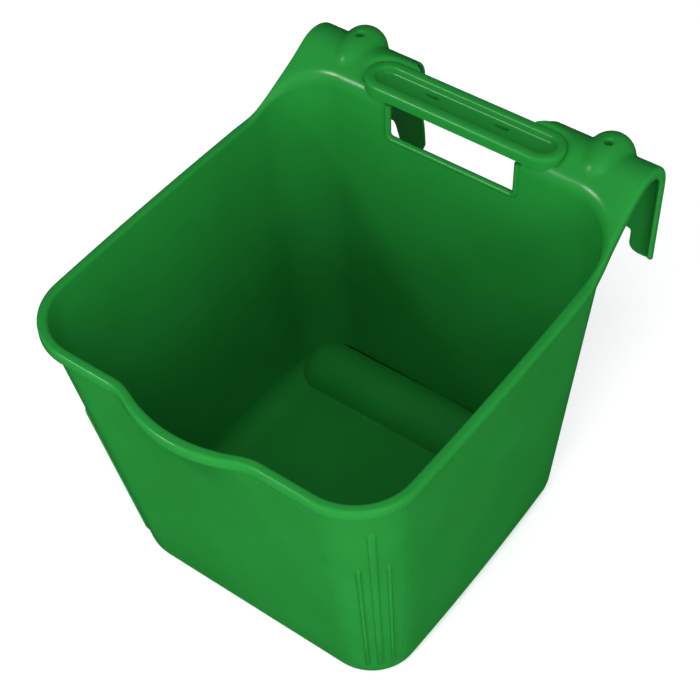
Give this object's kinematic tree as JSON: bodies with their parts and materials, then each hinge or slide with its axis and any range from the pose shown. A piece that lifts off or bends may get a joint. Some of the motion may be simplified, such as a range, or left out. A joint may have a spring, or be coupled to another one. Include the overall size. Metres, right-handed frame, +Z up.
{
  "type": "hook-over feed bucket",
  "caption": "Square tapered plastic feed bucket with a pouring lip, a hook-over saddle for a rail, a tray-shaped handle and two screw holes.",
  "frame": {"origin": "middle of the whole outline, on the surface the base stands on", "axes": "+Z up, +Y from the pouring lip to the hooks, +X to the right when the lip faces the viewer"},
  "size_m": [0.306, 0.3786, 0.328],
  "materials": {
    "green_plastic": "glossy injection-moulded polypropylene"
  },
  "bodies": {
    "root": {"front_wall": "green_plastic", "back_wall": "green_plastic", "left_wall": "green_plastic", "right_wall": "green_plastic", "front_left_corner": "green_plastic", "front_right_corner": "green_plastic", "back_left_corner": "green_plastic", "back_right_corner": "green_plastic", "floor_panel": "green_plastic", "hand_grip": "green_plastic", "rim_front": "green_plastic", "rim_left": "green_plastic", "rim_right": "green_plastic", "flange_left": "green_plastic", "flange_right": "green_plastic", "saddle_left": "green_plastic", "saddle_right": "green_plastic", "saddle_lip_left": "green_plastic", "saddle_lip_right": "green_plastic", "upper_back_left": "green_plastic", "upper_back_right": "green_plastic", "hook_leg_left": "green_plastic", "hook_leg_right": "green_plastic", "outer_prong_left": "green_plastic", "outer_prong_right": "green_plastic", "inner_prong_left": "green_plastic", "inner_prong_right": "green_plastic", "handle_bar": "green_plastic", "screw_dome_left": "green_plastic", "screw_dome_right": "green_plastic", "corner_ribs_left": "green_plastic", "corner_ribs_right": "green_plastic"}
  },
  "joints": []
}
